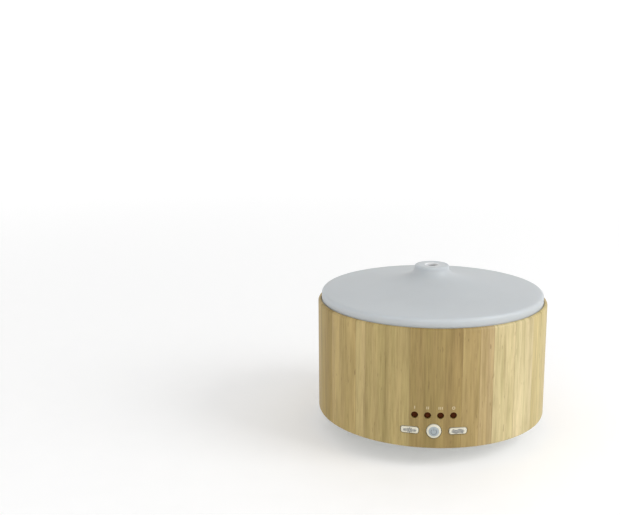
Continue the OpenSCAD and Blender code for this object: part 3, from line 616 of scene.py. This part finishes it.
def bamboo_finish():
    """Lacquered bamboo: upright strips of differing tone, with streaks, fibres and dark flecks."""
    wood = Finish("bamboo", srgb(172, 150, 100), 0.5, IOR=1.4, Coat_Weight=0.06, Coat_Roughness=0.4)
    x, y, z = wood.add("SeparateXYZ", inputs={"Vector": wood.place()}).outputs
    angle = wood.maths("ARCTAN2", x, wood.maths("MULTIPLY", y, -1.0))
    turn = wood.maths("ADD", wood.maths("MULTIPLY", angle, 1 / (2 * np.pi)), 0.5)
    stops = [((degrees + 180) / 360, srgb(*tone)) for degrees, tone in BAMBOO_STRIPS]
    strips = wood.ramp(turn, stops, "CONSTANT")
    beside = wood.ramp(wood.maths("ADD", turn, 0.0009), stops, "CONSTANT")
    joint = wood.add("VectorMath", operation="DISTANCE", inputs={0: strips, 1: beside}).outputs["Value"]
    around = wood.maths("MULTIPLY", angle, SLEEVE_R * MM)
    own = wood.ramp(turn, [(place, 0.618 * k % 1) for k, (place, tone) in enumerate(stops)], "CONSTANT")
    along = wood.maths("ADD", z, wood.maths("MULTIPLY", own, 9.0))
    apart = wood.maths("MULTIPLY", own, 3.0)
    flat = wood.add("CombineXYZ", inputs={0: around, 1: along, 2: apart}).outputs[0]
    broad = wood.noise(wood.stretched(flat, (105, 5, 1)), 1.0, 3.0, 0.55)
    streak = wood.noise(wood.stretched(flat, (250, 15, 1)), 1.0, 3.0, 0.6, 0.25)
    fibre = wood.noise(wood.stretched(flat, (760, 42, 1)), 1.0, 4.0, 0.65)
    hair = wood.noise(wood.stretched(flat, (3200, 60, 1)), 1.0, 3.0, 0.6)
    dash = wood.noise(wood.stretched(flat, (950, 120, 1)), 1.0, 1.0, 0.5)
    tint = wood.noise(wood.stretched(flat, (150, 12, 1)), 1.0, 2.0, 0.5)
    colour = wood.blend(1.0, strips, wood.ramp(
        broad, [(0.30, (0.86, 0.85, 0.80)), (0.50, (1.0, 1.0, 1.0)), (0.70, (1.10, 1.10, 1.12))]), "MULTIPLY")
    colour = wood.blend(1.0, colour, wood.ramp(streak, [
        (0.28, (0.80, 0.78, 0.71)), (0.48, (1.0, 1.0, 1.0)), (0.72, (1.14, 1.14, 1.16))]), "MULTIPLY")
    colour = wood.blend(1.0, colour, wood.ramp(
        fibre, [(0.28, (0.80, 0.78, 0.72)), (0.52, (1.0, 1.0, 1.0)), (0.75, (1.10, 1.10, 1.12))]), "MULTIPLY")
    colour = wood.blend(1.0, colour, wood.ramp(
        tint, [(0.35, (1.0, 1.0, 1.0)), (0.65, (0.97, 1.0, 0.95))]), "MULTIPLY")
    fleck = wood.ramp(dash, [(0.24, 1.0), (0.31, 0.0)])
    colour = wood.blend(wood.maths("MULTIPLY", fleck, 0.45), colour, srgb(104, 80, 48))
    seam = wood.maths("MINIMUM", wood.maths("MULTIPLY", joint, 9.0), 0.35)
    colour = wood.blend(seam, colour, srgb(120, 96, 60))
    wood.wire("Base Color", wood.blend(0.5, colour, wood.ramp(
        hair, [(0.3, (0.88, 0.86, 0.82)), (0.6, (1.0, 1.0, 1.0))]), "MULTIPLY"))
    wood.wire("Roughness", wood.maths("ADD", wood.maths("MULTIPLY", fibre, 0.2), 0.42))
    relief = wood.maths("SUBTRACT", wood.maths("ADD", fibre, hair), wood.maths("MULTIPLY", joint, 2.0))
    wood.bump(relief, 0.04, 0.4)
    return wood


def frosted_finish():
    """Frosted plastic: pale blue-grey, cloudy inside, with a fine matt grain.

    The outlet and the spout's neck carry a painted highlight that offsets their shade, the front
    has painted light a little brighter than the back, and the side wall under the dome painted shade.
    """
    frost = Finish("frosted_plastic", srgb(206, 212, 215), 0.42, Transmission_Weight=0.12,
                   Subsurface_Weight=0.35, IOR=1.45)
    frost.shader.inputs["Subsurface Radius"].default_value = (0.006, 0.007, 0.008)
    frost.shader.inputs["Subsurface Scale"].default_value = 1.0
    place = frost.place()
    cloud = frost.noise(place, 35.0, 3.0, 0.5)
    grain = frost.noise(place, 1400.0, 2.0, 0.6)
    skin = frost.ramp(cloud, [(0.3, srgb(190, 195, 198)), (0.7, srgb(194, 199, 202))])
    flat = frost.stretched(place, (100, 100, 0))
    radius = frost.add("VectorMath", operation="LENGTH", inputs={0: flat}).outputs["Value"]
    # Painted highlight: the outlet is painted near white and the spout's neck lighter, standing in for light
    # that offsets their shade.
    spout = frost.ramp(radius, [(0.44, 1.0), (0.58, 0.12), (1.4, 0.12), (2.2, 0.0)])
    x, y, z = frost.add("SeparateXYZ", inputs={"Vector": place}).outputs
    # Painted light: the lid is painted lighter towards the front and darker towards the back.
    painted_front_light = frost.ramp(frost.maths("MULTIPLY_ADD", y, -6.0, 0.5), [
        (0.05, (0.92, 0.93, 0.92)), (0.50, (0.99, 0.99, 0.99)), (0.80, (1.02, 1.02, 1.02)),
        (0.95, (1.05, 1.05, 1.05))])
    # Painted shade: the lid's side wall below the dome is painted darker than the top.
    painted_side_wall_shade = frost.ramp(frost.maths("MULTIPLY_ADD", z, 100.0, -9.6), [
        (0.60, (0.94, 0.94, 0.94)), (0.86, (1.0, 1.0, 1.0))])
    skin = frost.blend(1.0, frost.blend(1.0, skin, painted_front_light, "MULTIPLY"), painted_side_wall_shade, "MULTIPLY")
    frost.wire("Base Color", frost.blend(spout, skin, srgb(251, 252, 253)))
    frost.wire("Roughness", frost.maths("ADD", frost.maths("MULTIPLY", cloud, 0.12), 0.36))
    frost.bump(grain, 0.02, 0.25)
    return frost


def moulded_finish(name, colour, roughness, grain=900.0, relief=0.015, spread=0.06, **sockets):
    """Moulded plastic: a fine spark-eroded grain, faint flow clouds and slightly uneven gloss."""
    made = Finish(name, colour, roughness, **sockets)
    place = made.place()
    cloud = made.noise(place, 55.0, 3.0, 0.5)
    texture = made.noise(place, grain, 3.0, 0.6)
    low = tuple(c * (1 - spread) for c in colour)
    high = tuple(min(1.0, c * (1 + spread)) for c in colour)
    made.wire("Base Color", made.ramp(cloud, [(0.3, low), (0.7, high)]))
    gloss = made.maths("ADD", made.maths("MULTIPLY", cloud, 0.12), roughness - 0.06)
    made.wire("Roughness", made.maths("ADD", made.maths("MULTIPLY", texture, 0.08), gloss))
    made.bump(texture, relief, 0.4)
    return made


def metal_finish(name, colour, roughness, direction=(60, 60, 2400), relief=0.006, **sockets):
    """Worked metal: fine parallel scratches along one axis over a slow drift in tone."""
    made = Finish(name, colour, roughness, Metallic=1.0, **sockets)
    place = made.place()
    scratch = made.noise(made.stretched(place, direction), 1.0, 4.0, 0.6)
    drift = made.noise(place, 240.0, 3.0, 0.5)
    low, high = tuple(c * 0.78 for c in colour), tuple(min(1.0, c * 1.1) for c in colour)
    made.wire("Base Color", made.ramp(made.blend(0.5, scratch, drift), [(0.3, low), (0.7, high)]))
    made.wire("Roughness", made.maths("ADD", made.maths("MULTIPLY", scratch, 0.22), roughness - 0.1))
    made.bump(scratch, relief, 0.4)
    return made


def board_finish():
    """Green circuit board: tracks under the solder mask, tinned pads and a faint glass weave."""
    made = Finish("circuit_board", (0.012, 0.075, 0.03), 0.3, Coat_Weight=0.4, Coat_Roughness=0.2)
    place = made.place()
    lanes = made.add("TexBrick", offset=0.37, squash=1.0, inputs={
        "Vector": place, "Scale": 260.0, "Mortar Size": 0.018, "Mortar Smooth": 0.1,
        "Brick Width": 1.9, "Row Height": 0.42})
    pads = made.add("TexVoronoi", distance="CHEBYCHEV", inputs={
        "Vector": made.stretched(place, (1, 1, 0.02)), "Scale": 300.0, "Randomness": 0.55})
    weave = made.noise(made.stretched(place, (3000, 900, 900)), 1.0, 2.0, 0.5)
    mask = made.ramp(weave, [(0.3, (0.010, 0.062, 0.024)), (0.7, (0.017, 0.09, 0.036))])
    track = made.maths("SUBTRACT", 1.0, lanes.outputs["Fac"])
    copper = made.blend(made.maths("MULTIPLY", lanes.outputs["Fac"], 0.8), mask, (0.035, 0.17, 0.06))
    tin = made.ramp(pads.outputs["Distance"], [(0.09, 1.0), (0.11, 0.0)])
    made.wire("Base Color", made.blend(tin, copper, (0.62, 0.60, 0.55)))
    made.wire("Metallic", made.maths("MULTIPLY", tin, 0.9))
    made.bump(made.maths("SUBTRACT", tin, made.maths("MULTIPLY", track, 0.4)), 0.03, 0.5)
    return made


def winding_finish():
    """Enamelled copper wire: close parallel turns with a varnish gloss."""
    made = Finish("copper_winding", (0.42, 0.14, 0.05), 0.3, Metallic=0.9, Coat_Weight=0.5)
    place = made.place()
    turns = made.add("TexWave", wave_type="BANDS", bands_direction="Z", wave_profile="SIN", inputs={
        "Vector": place, "Scale": 620.0, "Distortion": 0.6, "Detail": 1.0, "Detail Scale": 0.4})
    varnish = made.noise(place, 500.0, 3.0, 0.6)
    tone = made.ramp(turns.outputs["Fac"], [(0.1, (0.16, 0.045, 0.014)), (0.8, (0.60, 0.22, 0.07))])
    made.wire("Base Color", made.blend(made.maths("MULTIPLY", varnish, 0.3), tone, (0.30, 0.08, 0.025)))
    made.bump(turns.outputs["Fac"], 0.08, 0.8)
    return made


def foam_finish():
    """Closed-cell foam: small round cells with thin walls."""
    made = Finish("foam", (0.05, 0.05, 0.055), 0.92)
    place = made.place()
    cells = made.add("TexVoronoi", feature="DISTANCE_TO_EDGE", inputs={"Vector": place, "Scale": 1300.0})
    wall = made.ramp(cells.outputs["Distance"], [(0.02, (0.10, 0.10, 0.105)), (0.3, (0.035, 0.035, 0.04))])
    made.wire("Base Color", wall)
    made.bump(cells.outputs["Distance"], 0.15, 0.7)
    return made


def disc_finish():
    """The ultrasonic disc: a silvered ring round a bare steel eye, with a dull ceramic edge."""
    made = Finish("piezo_ceramic", (0.6, 0.6, 0.58), 0.35)
    place = made.place()
    flat = made.stretched(place, (1, 1, 0))
    radius = made.add("VectorMath", operation="LENGTH", inputs={0: flat}).outputs["Value"]
    across = made.maths("DIVIDE", radius, DISC_R * MM)
    rings = [(0.0, (0.55, 0.55, 0.54)), (0.30, (0.66, 0.66, 0.64)), (0.34, (0.80, 0.79, 0.75)),
             (0.82, (0.76, 0.75, 0.71)), (0.86, (0.55, 0.50, 0.42)), (1.0, (0.60, 0.56, 0.48))]
    speckle = made.noise(place, 1800.0, 3.0, 0.6)
    tone = made.ramp(speckle, [(0.3, (0.86, 0.86, 0.86)), (0.7, (1.0, 1.0, 1.0))])
    made.wire("Base Color", made.blend(1.0, made.ramp(across, rings), tone, "MULTIPLY"))
    bare = made.ramp(across, [(0.30, 0.9), (0.34, 0.35), (0.82, 0.35), (0.86, 0.0)], "CONSTANT")
    made.wire("Metallic", bare)
    made.wire("Roughness", made.maths("ADD", made.maths("MULTIPLY", speckle, 0.2), 0.25))
    made.bump(speckle, 0.01, 0.4)
    return made


def capacitor_finish():
    """Electrolytic capacitors: a dark shrink sleeve with a pale polarity stripe and a bare metal top."""
    made = Finish("capacitor_sleeve", (0.01, 0.015, 0.05), 0.3)
    place = made.place()
    facing = made.add("SeparateXYZ", inputs={"Vector": made.add("NewGeometry").outputs["Normal"]}).outputs
    film = made.noise(place, 300.0, 3.0, 0.5)
    sleeve_tone = made.ramp(film, [(0.3, (0.007, 0.011, 0.04)), (0.7, (0.014, 0.02, 0.065))])
    stripe = made.ramp(facing["X"], [(0.86, 0.0), (0.90, 1.0)])
    top = made.ramp(facing["Z"], [(0.80, 0.0), (0.90, 1.0)])
    banded = made.blend(stripe, sleeve_tone, (0.36, 0.38, 0.42))
    made.wire("Base Color", made.blend(top, banded, (0.68, 0.69, 0.70)))
    made.wire("Metallic", top)
    made.bump(film, 0.03, 0.4)
    return made


def lead_finish(name, colour):
    """PVC insulation: a soft sheen with faint draw marks and dust."""
    return moulded_finish(name, colour, 0.45, 1600.0, 0.01, 0.12)


# ---- camera, light and floor ----

EYE = (-27.2, -680.9, 277.2)
LENS, SENSOR = 54.46, 36.0
FLOOR_SIDE = 16000
HORIZON = 1.1
ZENITH = 0.70


def camera():
    """A standing viewer's look at the front, slightly from above and a little from the left."""
    lens = bpy.data.cameras.new("camera")
    lens.lens, lens.sensor_width = LENS, SENSOR
    lens.clip_start, lens.clip_end = 0.01, 20.0
    eye = bpy.data.objects.new("camera", lens)
    bpy.context.scene.collection.objects.link(eye)
    heading, pitch, roll = np.radians(5.3), np.radians(12.39), np.radians(-0.56)
    ahead = Vector((-np.sin(heading) * np.cos(pitch), np.cos(heading) * np.cos(pitch), -np.sin(pitch)))
    level = Vector((np.cos(heading), np.sin(heading), 0.0))
    above = level.cross(ahead)
    right = level * np.cos(roll) + above * np.sin(roll)
    up = above * np.cos(roll) - level * np.sin(roll)
    turn = Matrix((right, up, -ahead)).transposed()
    eye.matrix_world = Matrix.Translation(Vector(EYE) * MM) @ turn.to_4x4()
    bpy.context.scene.camera = eye


def lamp(name, place, target, size, watts, colour=(1.0, 1.0, 1.0)):
    """A square soft box at a place, turned towards a target (both in metres)."""
    light = bpy.data.lights.new(name, "AREA")
    light.shape, light.size, light.energy, light.color = "SQUARE", size, watts, colour
    box = bpy.data.objects.new(name, light)
    bpy.context.scene.collection.objects.link(box)
    box.location = place
    box.rotation_euler = (Vector(target) - Vector(place)).to_track_quat("-Z", "Y").to_euler()


def studio():
    """A pale floor that brightens to white far out, a white surround and two soft boxes."""
    bpy.context.scene.view_settings.view_transform = "Standard"
    t = FLOOR_SIDE * (np.linspace(0, 1, 2) - 0.5)
    across, away = np.meshgrid(t, t, indexing="ij")
    corners = np.stack([across, away, 0 * across], axis=-1).reshape(-1, 3)
    floor = piece("floor", corners, grid_faces(2, 2)[:, ::-1])
    pale = moulded_finish("pale_floor", (0.93, 0.93, 0.93), 0.6, 120.0, 0.01, 0.01)
    reach = pale.add("VectorMath", operation="LENGTH", inputs={0: pale.place()}).outputs["Value"]
    pale.shader.inputs["Emission Color"].default_value = (1, 1, 1, 1)
    glow = pale.ramp(pale.maths("MULTIPLY", reach, 0.25), [(0.06, 0.07), (0.5, 0.34)])
    pale.wire("Emission Strength", glow)
    dress(floor, pale)
    world = bpy.data.worlds.new("surround")
    bpy.context.scene.world = world
    world.use_nodes = True
    nodes, links = world.node_tree.nodes, world.node_tree.links
    split = nodes.new("ShaderNodeSeparateXYZ")
    links.new(nodes.new("ShaderNodeTexCoord").outputs["Generated"], split.inputs[0])
    height = nodes.new("ShaderNodeValToRGB")
    levels = ((0.06, HORIZON), (0.75, ZENITH))
    for element, (position, level) in zip(height.color_ramp.elements, levels):
        element.position, element.color = position, (level, level, level, 1)
    links.new(split.outputs["Z"], height.inputs["Fac"])
    links.new(height.outputs["Color"], nodes["Background"].inputs["Color"])
    lamp("right_box", (1.0, -0.35, 0.8), (0, 0, 0.06), 0.7, 7.0)
    lamp("front_box", (-0.1, -1.2, 0.4), (0, 0, 0.09), 0.8, 2.0)


camera()
studio()

FINISHES = {
    "bamboo": bamboo_finish(),
    "frosted_plastic": frosted_finish(),
    "white_plastic": moulded_finish("white_plastic", srgb(222, 223, 220), 0.38, 800.0, 0.012, 0.03),
    "button_plastic": moulded_finish("button_plastic", srgb(206, 202, 184), 0.42, 1200.0, 0.01, 0.03),
    "smoked_plastic": moulded_finish("smoked_plastic", srgb(68, 32, 10), 0.55, 1200.0, 0.004, 0.2, IOR=1.12),
    "grey_rubber": moulded_finish("grey_rubber", srgb(74, 75, 77), 0.82, 1500.0, 0.04, 0.12),
    "steel": metal_finish("steel", (0.56, 0.57, 0.58), 0.34),
    "piezo_ceramic": disc_finish(),
    "silicone": moulded_finish(
        "silicone", srgb(150, 153, 156), 0.6, 700.0, 0.01, 0.08, Subsurface_Weight=0.2),
    "circuit_board": board_finish(),
    "led_resin": moulded_finish("led_resin", srgb(226, 220, 176), 0.14, 600.0, 0.006, 0.15, Coat_Weight=0.6),
    "black_plastic": moulded_finish("black_plastic", srgb(30, 30, 32), 0.48, 1100.0, 0.03, 0.25),
    "copper_winding": winding_finish(),
    "foam": foam_finish(),
    "brass": metal_finish("brass", (0.72, 0.52, 0.22), 0.26, (200, 200, 3000)),
    "chip_plastic": moulded_finish("chip_plastic", srgb(34, 34, 35), 0.6, 2200.0, 0.03, 0.2),
    "aluminium": metal_finish("aluminium", (0.70, 0.71, 0.72), 0.36, (2200, 2200, 60)),
    "capacitor_sleeve": capacitor_finish(),
    "header_plastic": moulded_finish("header_plastic", srgb(224, 216, 190), 0.5, 900.0, 0.015, 0.08),
    "red_insulation": lead_finish("red_insulation", srgb(176, 34, 28)),
    "yellow_insulation": lead_finish("yellow_insulation", srgb(214, 176, 44)),
    "white_insulation": lead_finish("white_insulation", srgb(222, 222, 218)),
    "grey_insulation": lead_finish("grey_insulation", srgb(120, 121, 124)),
}
INK = moulded_finish("sign_ink", srgb(112, 114, 116), 0.5, 1500.0, 0.004, 0.1)
PALE_INK = moulded_finish("pale_ink", srgb(192, 176, 142), 0.5, 1500.0, 0.004, 0.1)
PADS = {
    "power": moulded_finish("blue_grey_pad", srgb(152, 161, 164), 0.4, 1500.0, 0.006, 0.05),
    "light": moulded_finish("warm_grey_pad", srgb(164, 161, 150), 0.4, 1500.0, 0.006, 0.05),
}
PADS["mist"] = PADS["light"]

for row in frame["record"]["subparts"]:
    dress(frame["nodes"][row["node"]], FINISHES[row["material_slot"]])

dress(sleeve(), FINISHES["bamboo"])
dress(lid(), FINISHES["frosted_plastic"])
for each in BUTTONS:
    dress(button(each), FINISHES["button_plastic"])
for name, pad in button_pads():
    dress(pad, PADS[name])
for each in button_signs():
    dress(each, INK)
for each in window_marks():
    dress(each, PALE_INK)
dress(light_guide(), FINISHES["smoked_plastic"])
